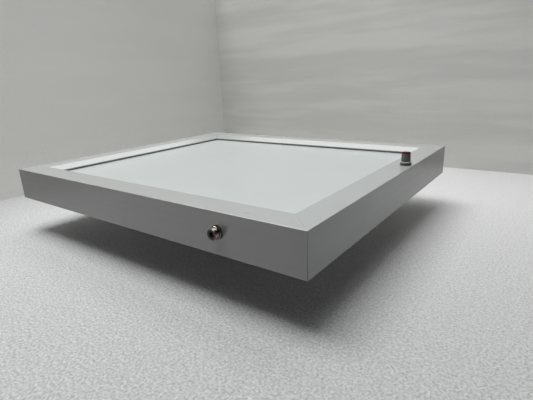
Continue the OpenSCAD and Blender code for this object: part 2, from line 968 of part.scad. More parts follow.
module inlet_pin() {
    tip = insulator_inset - jack_reach + plug_tip_inset;
    root = tip + plug_pin_l - pin_root_stand;
    color("tan")
        on_inlet() {
            translate([0, 0, tip + plug_pin_r]) {
                cylinder(r = plug_pin_r, h = root - tip);
                sphere(r = plug_pin_r);
            }
            translate([0, 0, root])
                cylinder(r = pin_root_r, h = pin_back_y - front_y - root);
        }
}

module inlet_tag() {
    color("tan")
        translate([jack_x - inlet_tag_w / 2, inlet_tail_y, tag_z - inlet_tag_t / 2])
            cube([inlet_tag_w, inlet_tag_l, inlet_tag_t]);
}

// A supply lead: down from the inlet, along the front rail, round the corner and up to the board
module supply_lead(start, run_y, way) {
    way_x = board_x + way_pitch * way;
    floor_z = back_t + supply_r;
    rise_y = board_front_y - floor_run;
    lead([
        start,
        [jack_x, run_y, start[2]],
        [jack_x, run_y, floor_z],
        [way_x, run_y, floor_z],
        [way_x, rise_y, floor_z],
        [way_x, board_front_y - 2 * bend, clamp_z],
        [way_x, board_front_y - lead_touch, clamp_z]
    ], supply_r);
}

module supply_lead_red() {
    color("firebrick")
        supply_lead([jack_x, pin_back_y + lead_touch, jack_z], red_run_y, ways[0]);
}

module supply_lead_black() {
    color("black")
        supply_lead([jack_x, tag_end_y + lead_touch, tag_z], black_run_y, ways[1]);
}

// A saddle over leads that run along X, standing on the back panel
module saddle(width, lead_d) {
    room = lead_d + saddle_play;
    translate([0, 0, back_t])
        rotate([90, 0, 90])
            linear_extrude(height = saddle_l, center = true)
                polygon([
                    [-width / 2 - saddle_t - saddle_foot, 0],
                    [-width / 2, 0],
                    [-width / 2, room],
                    [width / 2, room],
                    [width / 2, 0],
                    [width / 2 + saddle_t + saddle_foot, 0],
                    [width / 2 + saddle_t + saddle_foot, saddle_t],
                    [width / 2 + saddle_t, saddle_t],
                    [width / 2 + saddle_t, room + saddle_t],
                    [-width / 2 - saddle_t, room + saddle_t],
                    [-width / 2 - saddle_t, saddle_t],
                    [-width / 2 - saddle_t - saddle_foot, saddle_t]
                ]);
}

module lead_saddles() {
    supply_width = supply_step + supply_lead_d + 2 * saddle_play;
    side_width = way_pitch + supply_lead_d + 2 * saddle_play;
    pot_width = 2 * header_pitch + pot_lead_d + 2 * saddle_play;
    color("white") {
        translate([(jack_x + tray_half_w) / 2, (red_run_y + black_run_y) / 2, 0])
            saddle(supply_width, supply_lead_d);
        translate([board_x - way_pitch, board_front_y - saddle_run, 0])
            rotate([0, 0, 90])
                saddle(side_width, supply_lead_d);
        translate([board_x, (board_rear_y + dimmer_y) / 2 - access_front / 2, 0])
            rotate([0, 0, 90])
                saddle(pot_width, pot_lead_d);
    }
}

// Dimmer board

module at_board_holes() {
    translate([board_x, -board_y, 0])
        at_corners(board_w * spacer_span_w_share / 2, board_l / 2 - board_screw_in)
            children();
}

module dimmer_board() {
    color("seagreen")
        difference() {
            translate([board_x - board_w / 2, board_front_y, board_z])
                cube([board_w, board_l, board_t]);
            at_board_holes()
                translate([0, 0, board_z - over])
                    cylinder(r = board_screw_r + 2 * hole_play, h = board_t + 2 * over);
        }
}

module board_spacers() {
    color("gold")
        at_board_holes()
            translate([0, 0, back_t])
                difference() {
                    cylinder(r = spacer_r, h = spacer_h);
                    translate([0, 0, spacer_foot])
                        cylinder(r = board_screw_r + hole_play, h = spacer_h);
                }
}

module board_screws() {
    color("lightgray")
        at_board_holes() {
            translate([0, 0, board_top_z])
                cylinder(r = board_screw_head_r, h = board_screw_head_h);
            translate([0, 0, board_z - board_screw_l])
                cylinder(r = board_screw_r, h = board_screw_l + board_t + board_screw_head_h / 2);
        }
}

module board_terminal() {
    color("green")
        difference() {
            translate([board_x - board_w / 2, board_front_y, board_top_z])
                cube([board_w, terminal_l, terminal_h]);
            for (way = ways)
                translate([
                    board_x + way * way_pitch,
                    board_front_y + terminal_l / 2,
                    board_top_z + terminal_h - terminal_well
                ])
                    cylinder(r = terminal_well_r, h = terminal_h);
        }
}

module board_header() {
    color("ivory")
        translate([board_x - header_w / 2, board_rear_y - header_l, board_top_z])
            cube([header_w, header_l, header_h]);
}

// Middle line of the board's parts, from the terminal to the header
part_y = [for (share = part_shares) board_front_y + board_l * share];

module board_capacitor() {
    color("midnightblue")
        translate([board_x, part_y[0], board_top_z])
            rotate_extrude()
                difference() {
                    square([capacitor_r, capacitor_h]);
                    translate([capacitor_r, capacitor_groove_z])
                        circle(r = capacitor_groove_r);
                }
}

module board_inductor() {
    color("dimgray")
        translate([board_x, part_y[1], board_top_z])
            difference() {
                translate([-inductor_w / 2, -inductor_w / 2, 0])
                    cube([inductor_w, inductor_w, inductor_h]);
                translate([0, 0, inductor_h - inductor_well])
                    cylinder(r = inductor_well_r, h = inductor_h);
            }
}

module board_chips() {
    color("black")
        for (s = [-1, 1])
            translate([board_x + s * chip_step / 2 - chip_w / 2, part_y[2] - chip_l / 2, board_top_z])
                cube([chip_w, chip_l, chip_h]);
}

module board_resistors() {
    color("black")
        for (s = [-1, 0, 1])
            translate([
                board_x + s * resistor_step - resistor_l / 2,
                part_y[3] - resistor_w / 2,
                board_top_z
            ])
                cube([resistor_l, resistor_w, resistor_h]);
}

// Leads from the board's header to the dimmer's tags
module dimmer_leads() {
    floor_z = back_t + pot_r;
    out_z = board_top_z + header_h / 2;
    tag_y = dimmer_y - tag_reach + tag_w / 2;
    start_y = board_rear_y + lead_touch;
    color("goldenrod")
        for (i = [-1, 0, 1]) {
            from_x = board_x + i * header_pitch;
            to_x = dimmer_x + i * tag_pitch;
            lead([
                [from_x, start_y, out_z],
                [from_x, start_y + 2 * bend, out_z],
                [from_x, start_y + 4 * bend, floor_z],
                [from_x, tag_y - 5 * bend, floor_z],
                [to_x, tag_y - bend, ledge_under_z / 2],
                [to_x, tag_y, ledge_under_z - bend],
                [to_x, tag_y, wafer_z - tag_t - lead_touch]
            ], pot_r);
        }
}

// Dimmer

module on_dimmer(z) {
    translate([dimmer_x, dimmer_y, z])
        children();
}

module dimmer_bushing() {
    color("silver")
        on_dimmer(plate_z)
            difference() {
                union() {
                    translate([-pot_plate_half, -pot_plate_half, 0])
                        cube([2 * pot_plate_half, 2 * pot_plate_half, pot_plate_t]);
                    cylinder(r = bushing_r, h = pot_plate_t + bushing_l);
                }
                translate([0, 0, -over])
                    cylinder(r = shaft_r + shaft_play, h = pot_plate_t + bushing_l + 2 * over);
            }
}

module dimmer_wafer() {
    color("peru")
        on_dimmer(wafer_z)
            difference() {
                union() {
                    cylinder(r = pot_plate_half, h = wafer_t);
                    translate([-wafer_tail_w / 2, -wafer_reach, 0])
                        cube([wafer_tail_w, wafer_reach, wafer_t]);
                }
                translate([0, 0, -over])
                    cylinder(r = wafer_hole_r, h = wafer_t + 2 * over);
            }
}

module dimmer_track() {
    color("black")
        on_dimmer(wafer_z - track_t)
            rotate([0, 0, (360 - track_turn) / 2 - 90])
                rotate_extrude(angle = track_turn)
                    translate([track_in_r, 0])
                        square([track_out_r - track_in_r, track_t]);
}

module dimmer_tags() {
    color("silver")
        on_dimmer(wafer_z - tag_t)
            for (i = [-1, 0, 1])
                translate([i * tag_pitch - tag_w / 2, -tag_reach, 0])
                    cube([tag_w, tag_reach - tag_start, tag_t]);
}

module dimmer_can() {
    color("silver")
        on_dimmer(can_z)
            difference() {
                cylinder(r = can_r, h = can_h);
                translate([0, 0, can_t])
                    cylinder(r = can_r - can_t, h = can_h);
            }
}

module dimmer_washer() {
    color("silver")
        on_dimmer(frame_h)
            difference() {
                cylinder(r = pot_washer_r, h = pot_washer_t);
                translate([0, 0, -over])
                    cylinder(r = bushing_r + hole_play, h = pot_washer_t + 2 * over);
            }
}

module dimmer_nut() {
    color("silver")
        on_dimmer(frame_h + pot_washer_t)
            difference() {
                linear_extrude(height = pot_nut_t)
                    hexagon(pot_nut_af);
                translate([0, 0, -over])
                    cylinder(r = bushing_r + hole_play, h = pot_nut_t + 2 * over);
            }
}

module dimmer_shaft() {
    color("gainsboro")
        on_dimmer(0)
            difference() {
                translate([0, 0, can_z + shaft_foot])
                    cylinder(r = shaft_r, h = shaft_top_z - can_z - shaft_foot);
                // Flat that the knob keys on
                translate([shaft_flat, -shaft_r - over, bushing_top_z + bushing_room])
                    cube([2 * shaft_r, 2 * (shaft_r + over), shaft_top_z]);
            }
}

module dimmer_wiper() {
    hub_z = wafer_z - track_t - wiper_gap - wiper_hub_h;
    arm_r = (track_in_r + track_out_r) / 2;
    color("goldenrod")
        on_dimmer(hub_z)
            difference() {
                union() {
                    cylinder(r = wiper_hub_r, h = wiper_hub_h);
                    translate([-wiper_arm_w / 2, 0, 0])
                        cube([wiper_arm_w, arm_r, wiper_arm_t]);
                    translate([0, arm_r, 0])
                        cylinder(r = wiper_tip_r, h = wiper_arm_t);
                    translate([0, arm_r, 0])
                        cylinder(r = wiper_contact_r, h = wiper_hub_h + wiper_gap - wiper_play);
                }
                translate([0, 0, -over])
                    cylinder(r = shaft_r + socket_play, h = wiper_hub_h + 2 * over);
            }
}

module dimmer_knob() {
    body_foot = skirt_h + skirt_slope_h;
    room_r = skirt_r - skirt_wall;
    lean = atan((grip_foot_r - grip_head_r) / (knob_h - body_foot));
    socket_z = bushing_top_z - knob_z + bushing_room;
    color("dimgray")
        on_dimmer(knob_z)
            difference() {
                rotate_extrude()
                    difference() {
                        polygon([
                            [0, 0],
                            [skirt_r, 0],
                            [skirt_r, skirt_h],
                            [grip_foot_r + flute_bite, body_foot],
                            [grip_foot_r, body_foot],
                            [grip_head_r, knob_h],
                            [0, knob_h]
                        ]);
                        translate([skirt_r - skirt_line_d, skirt_line_z])
                            square([skirt_line_d + over, skirt_line_h]);
                    }
                // Room for the dimmer's nut, its bushing and its shaft
                translate([0, 0, -over])
                    cylinder(r = room_r, h = skirt_room_h + over);
                cylinder(r = bushing_r + bushing_room, h = socket_z);
                difference() {
                    cylinder(r = shaft_r + socket_play, h = knob_h - knob_roof);
                    translate([shaft_flat + socket_play, -shaft_r - over, socket_z])
                        cube([2 * shaft_r, 2 * (shaft_r + over), knob_h]);
                }
                // Seat of the cap's plug
                translate([0, 0, knob_h - cap_plug_l - cap_rim_gap])
                    cylinder(r = cap_plug_r + socket_play, h = cap_plug_l + over);
                for (i = [0 : flute_count - 1])
                    rotate([0, 0, 360 * i / flute_count])
                        translate([grip_foot_r + flute_r - flute_bite, 0, body_foot])
                            rotate([0, -lean, 0])
                                cylinder(r = flute_r, h = 2 * knob_h, $fn = 24);
            }
}

module knob_cap() {
    color("crimson")
        on_dimmer(knob_top_z)
            difference() {
                union() {
                    rotate_extrude()
                        polygon([
                            [0, 0],
                            [grip_head_r - cap_rim_gap, 0],
                            [grip_head_r - cap_rim_gap, cap_h - cap_chamfer],
                            [grip_head_r - cap_rim_gap - cap_chamfer, cap_h],
                            [0, cap_h]
                        ]);
                    translate([0, 0, -cap_plug_l])
                        cylinder(r = cap_plug_r, h = cap_plug_l + cap_h / 2);
                }
                // Index line, towards the hanging edge at mid travel
                translate([-mark_w / 2, 0, cap_h - mark_d])
                    cube([mark_w, grip_head_r + over, mark_d + over]);
            }
}

front_rail();
right_rail();
back_rail();
left_rail();
corner_keys();
corner_key_screws();
window_gasket();
window_panel();
back_panel();
back_panel_screws();
lamp_tray();
lamp_tray_rivets();
lamp_strips();
lamps();
strip_connectors();
lamp_lead_red();
lamp_lead_black();
lead_grommet();
inlet_barrel();
inlet_nut();
inlet_washer();
inlet_insulator();
inlet_pin();
inlet_tag();
supply_lead_red();
supply_lead_black();
lead_saddles();
dimmer_board();
board_spacers();
board_screws();
board_terminal();
board_header();
board_capacitor();
board_inductor();
board_chips();
board_resistors();
dimmer_leads();
dimmer_bushing();
dimmer_wafer();
dimmer_track();
dimmer_tags();
dimmer_can();
dimmer_washer();
dimmer_nut();
dimmer_shaft();
dimmer_wiper();
dimmer_knob();
knob_cap();
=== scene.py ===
# Looks of an x-ray film viewer lying on its back: finishes, fine detail and a plain studio
import json
import math

import bpy
from mathutils import Matrix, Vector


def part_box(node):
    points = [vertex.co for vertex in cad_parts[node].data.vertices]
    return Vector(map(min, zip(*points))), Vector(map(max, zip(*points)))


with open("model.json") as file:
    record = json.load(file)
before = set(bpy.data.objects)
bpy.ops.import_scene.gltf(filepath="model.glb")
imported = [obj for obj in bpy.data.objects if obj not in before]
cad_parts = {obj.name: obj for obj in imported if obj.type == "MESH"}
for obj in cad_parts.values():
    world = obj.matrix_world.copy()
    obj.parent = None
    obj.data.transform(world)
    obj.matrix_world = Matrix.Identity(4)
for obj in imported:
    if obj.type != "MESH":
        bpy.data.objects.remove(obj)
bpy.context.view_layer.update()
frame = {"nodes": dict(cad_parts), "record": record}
nodes = frame["nodes"]
scene = bpy.context.scene
print("frame loaded:", len(nodes), "nodes")


# Camera, at the place and angle the viewer was photographed from

cameraSettings = {
    "place": (0.4085, -0.4745, 0.1620),
    "azimuth": 36.98,
    "elevation": -16.92,
    "roll": -2.44,
    "lens": 26.92,  # mm, on a sensor of this width
    "sensor": 36.0,
    "nearest": 0.01,  # metres from the lens
}


def makeCamera(settings):
    data = bpy.data.cameras.new("camera")
    data.sensor_width = settings["sensor"]
    data.lens = settings["lens"]
    data.clip_start = settings["nearest"]
    camera = bpy.data.objects.new("camera", data)
    turn = Matrix.Rotation(math.radians(settings["azimuth"]), 4, "Z")
    tilt = Matrix.Rotation(math.radians(90 + settings["elevation"]), 4, "X")
    roll = Matrix.Rotation(math.radians(settings["roll"]), 4, "Z")
    camera.matrix_world = Matrix.Translation(settings["place"]) @ turn @ tilt @ roll
    scene.collection.objects.link(camera)
    scene.camera = camera


makeCamera(cameraSettings)
print("camera placed")


# Helpers for shader trees

def addNode(tree, kind, inputs=None, **attributes):
    node = tree.nodes.new(kind)
    for key, value in attributes.items():
        setattr(node, key, value)
    for key, value in (inputs or {}).items():
        if isinstance(value, bpy.types.NodeSocket):
            tree.links.new(value, node.inputs[key])
        else:
            node.inputs[key].default_value = value
    return node


def mathNode(tree, operation, a, b=0.0, clamp=False):
    node = addNode(tree, "ShaderNodeMath", {0: a, 1: b}, operation=operation, use_clamp=clamp)
    return node.outputs[0]


def times(tree, a, b, clamp=False):
    return mathNode(tree, "MULTIPLY", a, b, clamp)


def ramp(tree, value, low, high, outLow=0.0, outHigh=1.0, smooth=False):
    kind = "SMOOTHSTEP" if smooth else "LINEAR"
    inputs = {
        "Value": value, "From Min": low, "From Max": high, "To Min": outLow, "To Max": outHigh,
    }
    return addNode(tree, "ShaderNodeMapRange", inputs, interpolation_type=kind).outputs["Result"]


def mixColor(tree, factor, a, b, blend="MIX"):
    mix = addNode(tree, "ShaderNodeMix", data_type="RGBA", blend_type=blend)
    for socket, value in zip((mix.inputs[0], mix.inputs[6], mix.inputs[7]), (factor, a, b)):
        if isinstance(value, bpy.types.NodeSocket):
            tree.links.new(value, socket)
        else:
            socket.default_value = (*value, 1) if isinstance(value, tuple) else value
    return mix.outputs[2]


def newGroup(name, inputs, outputs):
    tree = bpy.data.node_groups.new(name, "ShaderNodeTree")
    for label, kind, value in inputs:
        socket = tree.interface.new_socket(label, in_out="INPUT", socket_type="NodeSocket" + kind)
        socket.default_value = value
    for label in outputs:
        tree.interface.new_socket(label, in_out="OUTPUT", socket_type="NodeSocketFloat")
    return tree, tree.nodes.new("NodeGroupInput").outputs, tree.nodes.new("NodeGroupOutput")


def useGroup(tree, group, **inputs):
    node = addNode(tree, "ShaderNodeGroup", node_tree=group)
    for key, value in inputs.items():
        socket = node.inputs[key]
        if isinstance(value, bpy.types.NodeSocket):
            tree.links.new(value, socket)
        else:
            socket.default_value = value
    return node.outputs


def objectPlace(tree):
    return addNode(tree, "ShaderNodeTexCoord").outputs["Object"]


def stretchedPlace(tree, stretch):
    inputs = {0: objectPlace(tree), 1: stretch}
    return addNode(tree, "ShaderNodeVectorMath", inputs, operation="MULTIPLY").outputs[0]


def axesOf(tree, vector):
    return addNode(tree, "ShaderNodeSeparateXYZ", {0: vector}).outputs


def surfaceNormal(tree):
    return addNode(tree, "ShaderNodeNewGeometry").outputs["Normal"]


def shade(tone, share):
    return tuple(channel * share for channel in tone)


# Shared effects: each puts out a value that changes over the surface

grainSettings = {
    "fineRough": 0.6, "fineFrom": 0.3, "fineTo": 0.7,
    "broadScale": 0.06,  # share of the grain's own scale
    "broadDetail": 2.0, "broadFrom": 0.35, "broadTo": 0.65,
}


def grainGroup(s):
    tree, given, out = newGroup("grain", [
        ("Stretch", "Vector", (1, 1, 1)), ("Scale", "Float", 1000), ("Detail", "Float", 3),
    ], ["Height", "Blotch"])
    place = stretchedPlace(tree, given["Stretch"])
    fine = addNode(tree, "ShaderNodeTexNoise", {
        "Vector": place, "Scale": given["Scale"], "Detail": given["Detail"],
        "Roughness": s["fineRough"],
    }).outputs[0]
    broad = addNode(tree, "ShaderNodeTexNoise", {
        "Vector": place, "Scale": times(tree, given["Scale"], s["broadScale"]),
        "Detail": s["broadDetail"],
    }).outputs[0]
    height = ramp(tree, fine, s["fineFrom"], s["fineTo"])
    blotch = ramp(tree, broad, s["broadFrom"], s["broadTo"], smooth=True)
    tree.links.new(height, out.inputs["Height"])
    tree.links.new(blotch, out.inputs["Blotch"])
    return tree


handlingSettings = {
    "detail": 4.0, "bend": 1.2,
    "bareFrom": 0.72, "coverShare": 0.5, "softness": 0.14,
}


def handlingGroup(s):
    # Faint wiped marks, larger than any grain
    tree, given, out = newGroup("handling", [
        ("Scale", "Float", 14), ("Cover", "Float", 0.3),
    ], ["Mask"])
    bend = addNode(tree, "ShaderNodeTexNoise", {
        "Vector": stretchedPlace(tree, (1, 1, 1)), "Scale": given["Scale"],
        "Detail": s["detail"], "Distortion": s["bend"],
    }).outputs[0]
    cover = times(tree, given["Cover"], s["coverShare"])
    low = mathNode(tree, "SUBTRACT", s["bareFrom"], cover)
    high = mathNode(tree, "ADD", low, s["softness"])
    tree.links.new(ramp(tree, bend, low, high, smooth=True), out.inputs["Mask"])
    return tree


edgeSettings = {
    "samples": 6, "gain": 4.0, "leastWear": 0.35,
    "breakupScale": 160.0, "breakupDetail": 3.0, "breakupFrom": 0.35, "breakupTo": 0.6,
}


def edgeGroup(s):
    # Marks where a surface turns over an edge: there the coat is thin and rubbed
    tree, given, out = newGroup("edge", [
        ("Radius", "Float", 0.0006), ("Strength", "Float", 1.0),
    ], ["Mask"])
    rounded = addNode(
        tree, "ShaderNodeBevel", {"Radius": given["Radius"]}, samples=s["samples"],
    ).outputs[0]
    dot = addNode(
        tree, "ShaderNodeVectorMath", {0: rounded, 1: surfaceNormal(tree)}, operation="DOT_PRODUCT",
    ).outputs["Value"]
    turned = mathNode(tree, "SUBTRACT", 1.0, dot)
    breakup = addNode(tree, "ShaderNodeTexNoise", {
        "Vector": stretchedPlace(tree, (1, 1, 1)),
        "Scale": s["breakupScale"], "Detail": s["breakupDetail"],
    }).outputs[0]
    patchy = ramp(tree, breakup, s["breakupFrom"], s["breakupTo"], s["leastWear"], 1.0)
    worn = times(tree, times(tree, turned, given["Strength"]), patchy)
    tree.links.new(times(tree, worn, s["gain"], clamp=True), out.inputs["Mask"])
    return tree


dustSettings = {
    "speckOuter": 0.16, "speckInner": 0.06, "chance": 0.2,
    "upFrom": 0.3, "upTo": 0.9,
}


def dustGroup(s):
    # Specks that settle on what faces up
    tree, given, out = newGroup("dust", [
        ("Scale", "Float", 260), ("Amount", "Float", 0.3),
    ], ["Mask"])
    place = stretchedPlace(tree, (1, 1, 1))
    cell = addNode(tree, "ShaderNodeTexVoronoi", {"Vector": place, "Scale": given["Scale"]})
    distance = cell.outputs["Distance"]
    speck = ramp(tree, distance, s["speckOuter"], s["speckInner"], smooth=True)
    chance = addNode(tree, "ShaderNodeSeparateColor", {0: cell.outputs["Color"]}).outputs[0]
    limit = mathNode(tree, "SUBTRACT", 1.0, times(tree, given["Amount"], s["chance"]))
    chosen = mathNode(tree, "GREATER_THAN", chance, limit)
    level = ramp(tree, axesOf(tree, surfaceNormal(tree))["Z"], s["upFrom"], s["upTo"])
    tree.links.new(times(tree, times(tree, speck, chosen), level), out.inputs["Mask"])
    return tree


grain = grainGroup(grainSettings)
handling = handlingGroup(handlingSettings)
edge = edgeGroup(edgeSettings)
dust = dustGroup(dustSettings)
print("shared effects ready")


# Finishes

def newFinish(name, **shader):
    material = bpy.data.materials.new(name)
    material.use_nodes = True
    tree = material.node_tree
    surface = tree.nodes["Principled BSDF"]
    for key, value in shader.items():
        socket = surface.inputs[key.replace("_", " ").title().replace("Ior", "IOR")]
        socket.default_value = value
    return material, tree, surface


def bumpInto(tree, surface, height, distance, strength=1.0):
    bump = addNode(tree, "ShaderNodeBump", {
        "Height": height, "Distance": distance, "Strength": strength,
    })
    tree.links.new(bump.outputs[0], surface.inputs["Normal"])


def feed(tree, surface, **values):
    for key, value in values.items():
        tree.links.new(value, surface.inputs[key.replace("_", " ")])


railFinish = {
    # The front and right rails are darker copies of one metal, a painted shade; the back and left rails
    # are lighter copies, a painted light
    "rails": {  # finish, axis that the rail runs along, dark and light tone, share of the pale film with painted top light
        "front_rail": ("frontRailShadedMetal", 0, (0.405, 0.411, 0.400), (0.414, 0.420, 0.409), 0.28),
        "right_rail": ("rightRailShadedMetal", 1, (0.396, 0.408, 0.401), (0.405, 0.417, 0.410), 0.30),
        "back_rail": ("backRailLitMetal", 0, (0.487, 0.495, 0.482), (0.498, 0.506, 0.493), 0.10),
        "left_rail": ("leftRailLitMetal", 1, (0.493, 0.507, 0.500), (0.504, 0.519, 0.511), 0.10),
    },
    "film": (0.80, 0.85, 0.85), "filmFrom": 0.5, "filmTo": 1.0,  # how far a face looks up
    "metallic": 0.25, "smooth": 0.21, "rough": 0.27,
    "lineStretch": 0.02, "lineScale": 2600.0, "lineDepth": 0.0000015,
    "poreScale": 5200.0, "poreShare": 0.6, "fineDetail": 2.0,
    "markScale": 9.0, "markCover": 0.32, "markShare": 0.15,
    "worn": (0.66, 0.67, 0.67), "wornRadius": 0.0006, "wornStrength": 0.8, "wornShare": 0.7,
    "dustTone": (0.8, 0.8, 0.78), "dustScale": 300.0, "dustAmount": 0.25, "dustShare": 0.4,
    "lipShadeTone": (0.33, 0.345, 0.345),
    "lipX": 0.2164, "lipY": 0.1804,  # the opening's faces lie just inside these
    "scuffPlace": (0.1855, -0.2089, 0.045), "scuffSize": (0.006, 0.0016, 0.002),
    "scuffTurn": 0.25, "scuffRagged": 1.6, "scuffDetail": 4.0,
    "scuffFrom": 1.5, "scuffTo": 0.7, "scuffTone": (0.27, 0.27, 0.285), "scuffShare": 0.5,
}


def lipShadeMask(tree, s):
    # The upright faces round the opening are painted darker, a painted shade where the recess lies in
    # shade
    inputs = {0: objectPlace(tree)}
    size = addNode(tree, "ShaderNodeVectorMath", inputs, operation="ABSOLUTE").outputs[0]
    axes = axesOf(tree, size)
    inX = mathNode(tree, "LESS_THAN", axes["X"], s["lipX"])
    inY = mathNode(tree, "LESS_THAN", axes["Y"], s["lipY"])
    return times(tree, inX, inY)


def scuffMask(tree, s):
    # One faint rub on the front rail's flat face
    local = addNode(tree, "ShaderNodeMapping", {
        "Vector": objectPlace(tree), "Location": s["scuffPlace"],
        "Rotation": (0.0, 0.0, s["scuffTurn"]), "Scale": s["scuffSize"],
    }, vector_type="TEXTURE").outputs[0]
    length = addNode(tree, "ShaderNodeVectorMath", {0: local}, operation="LENGTH")
    ragged = addNode(tree, "ShaderNodeTexNoise", {
        "Vector": local, "Scale": s["scuffRagged"], "Detail": s["scuffDetail"],
    }).outputs[0]
    reach = mathNode(tree, "ADD", length.outputs["Value"], ragged)
    return ramp(tree, reach, s["scuffFrom"], s["scuffTo"], smooth=True)


def frameMetal(name, along, dark, light, filmShare):
    # Satin anodised extrusion: fine draw lines run along the rail
    s = railFinish
    material, tree, surface = newFinish(name, metallic=s["metallic"])
    stretch = tuple(s["lineStretch"] if axis == along else 1.0 for axis in range(3))
    detail = s["fineDetail"]
    lines = useGroup(tree, grain, Stretch=stretch, Scale=s["lineScale"], Detail=detail)
    pores = useGroup(tree, grain, Scale=s["poreScale"], Detail=detail)
    marks = useGroup(tree, handling, Scale=s["markScale"], Cover=s["markCover"])["Mask"]
    rubbed = useGroup(tree, edge, Radius=s["wornRadius"], Strength=s["wornStrength"])["Mask"]
    specks = useGroup(tree, dust, Scale=s["dustScale"], Amount=s["dustAmount"])["Mask"]
    up = axesOf(tree, surfaceNormal(tree))["Z"]
    # Faces that look up are mixed towards a pale film, partly a film and partly painted light on the
    # tops
    film = ramp(tree, up, s["filmFrom"], s["filmTo"], 0.0, filmShare)
    tone = mixColor(tree, lines["Blotch"], dark, light)
    tone = mixColor(tree, film, tone, s["film"])
    tone = mixColor(tree, times(tree, marks, s["markShare"]), tone, dark)
    tone = mixColor(tree, times(tree, rubbed, s["wornShare"]), tone, s["worn"])
    tone = mixColor(tree, times(tree, specks, s["dustShare"]), tone, s["dustTone"])
    tone = mixColor(tree, times(tree, scuffMask(tree, s), s["scuffShare"]), tone, s["scuffTone"])
    # painted shade on the upright faces round the opening
    tone = mixColor(tree, lipShadeMask(tree, s), tone, s["lipShadeTone"])
    gloss = ramp(tree, lines["Height"], 0.0, 1.0, s["smooth"], s["rough"])
    height = mathNode(tree, "ADD", lines["Height"], times(tree, pores["Height"], s["poreShare"]))
    feed(tree, surface, Base_Color=tone, Roughness=gloss)
    bumpInto(tree, surface, height, s["lineDepth"])
    return material


metalSettings = {
    "detail": 3.0, "wornRadius": 0.00025, "wornLift": 1.25,
    "frontShadeFrom": -0.80, "frontShadeTo": -0.95, "frontShadeTone": 0.1,  # painted shade on faces that look to the front
}


def plainMetal(name, dark, light, smooth, rough, scale=3000.0, depth=0.000006, wear=0.5, frontShadeShare=0.0):
    # Turned, cast or plated metal; faces that look to the front are darkened by the given share, a
    # painted shade
    s = metalSettings
    material, tree, surface = newFinish(name, metallic=1.0)
    skin = useGroup(tree, grain, Scale=scale, Detail=s["detail"])
    rubbed = useGroup(tree, edge, Radius=s["wornRadius"], Strength=wear)["Mask"]
    tone = mixColor(tree, skin["Blotch"], dark, light)
    if frontShadeShare:
        # painted shade on faces that look to the front
        y = axesOf(tree, surfaceNormal(tree))["Y"]
        frontShade = ramp(tree, y, s["frontShadeFrom"], s["frontShadeTo"], 0.0, frontShadeShare)
        tone = mixColor(tree, frontShade, tone, shade(dark, s["frontShadeTone"]))
    worn = tuple(min(1.0, channel * s["wornLift"]) for channel in light)
    tone = mixColor(tree, rubbed, tone, worn)
    gloss = ramp(tree, skin["Height"], 0.0, 1.0, smooth, rough)
    feed(tree, surface, Base_Color=tone, Roughness=gloss)
    bumpInto(tree, surface, skin["Height"], depth)
    return material


plasticSettings = {
    "scale": 2400.0, "depth": 0.000012, "detail": 4.0,
    "wornRadius": 0.0003, "wornStrength": 0.3, "wornLift": 1.6, "wornAdd": 0.02,
}


def moulded(name, dark, light, smooth, rough, coat=0.0):
    # Moulded plastic: fine spark-eroded grain, with edges rubbed a little shinier and paler
    s = plasticSettings
    material, tree, surface = newFinish(name, coat_weight=coat)
    skin = useGroup(tree, grain, Scale=s["scale"], Detail=s["detail"])
    rubbed = useGroup(tree, edge, Radius=s["wornRadius"], Strength=s["wornStrength"])["Mask"]
    worn = tuple(min(1.0, channel * s["wornLift"] + s["wornAdd"]) for channel in light)
    tone = mixColor(tree, skin["Blotch"], dark, light)
    tone = mixColor(tree, rubbed, tone, worn)
    gloss = ramp(tree, skin["Height"], 0.0, 1.0, smooth, rough)
    feed(tree, surface, Base_Color=tone, Roughness=gloss)
    bumpInto(tree, surface, skin["Height"], s["depth"])
    return material


paintSettings = {
    "coat": 0.15, "peelScale": 650.0, "peelDetail": 1.0, "peelDepth": 0.00002,
    "markScale": 7.0, "markCover": 0.3, "markShare": 0.2, "markTone": 0.9,
    "worn": (0.62, 0.62, 0.61), "wornRadius": 0.0005, "wornStrength": 0.4,
}


def painted(name, dark, light, smooth, rough):
    # Sprayed paint on sheet: a slight orange peel
    s = paintSettings
    material, tree, surface = newFinish(name, coat_weight=s["coat"])
    peel = useGroup(tree, grain, Scale=s["peelScale"], Detail=s["peelDetail"])
    marks = useGroup(tree, handling, Scale=s["markScale"], Cover=s["markCover"])["Mask"]
    rubbed = useGroup(tree, edge, Radius=s["wornRadius"], Strength=s["wornStrength"])["Mask"]
    tone = mixColor(tree, peel["Blotch"], dark, light)
    tone = mixColor(tree, times(tree, marks, s["markShare"]), tone, shade(dark, s["markTone"]))
    tone = mixColor(tree, rubbed, tone, s["worn"])
    gloss = ramp(tree, marks, 0.0, 1.0, smooth, rough)
    feed(tree, surface, Base_Color=tone, Roughness=gloss)
    bumpInto(tree, surface, peel["Height"], s["peelDepth"])
    return material


opalSettings = {
    "dark": (0.565, 0.605, 0.60), "light": (0.58, 0.62, 0.615), "smooth": 0.24, "rough": 0.26,
    "skinScale": 1900.0, "skinDetail": 3.0, "skinDepth": 0.0000008,
    "cloudScale": 5.0, "cloudCover": 0.55,
    "dustTone": (0.5, 0.5, 0.48), "dustScale": 300.0, "dustAmount": 0.12, "dustShare": 0.2,
}


def opalWindow(s):
    # Satin opal acrylic: faint clouds from casting, a matt skin and a little settled dust
    material, tree, surface = newFinish("opalWindow")
    skin = useGroup(tree, grain, Scale=s["skinScale"], Detail=s["skinDetail"])
    clouds = useGroup(tree, handling, Scale=s["cloudScale"], Cover=s["cloudCover"])["Mask"]
    specks = useGroup(tree, dust, Scale=s["dustScale"], Amount=s["dustAmount"])["Mask"]
    tone = mixColor(tree, clouds, s["light"], s["dark"])
    tone = mixColor(tree, times(tree, specks, s["dustShare"]), tone, s["dustTone"])
    gloss = ramp(tree, clouds, 0.0, 1.0, s["smooth"], s["rough"])
    feed(tree, surface, Base_Color=tone, Roughness=gloss)
    bumpInto(tree, surface, skin["Height"], s["skinDepth"])
    return material


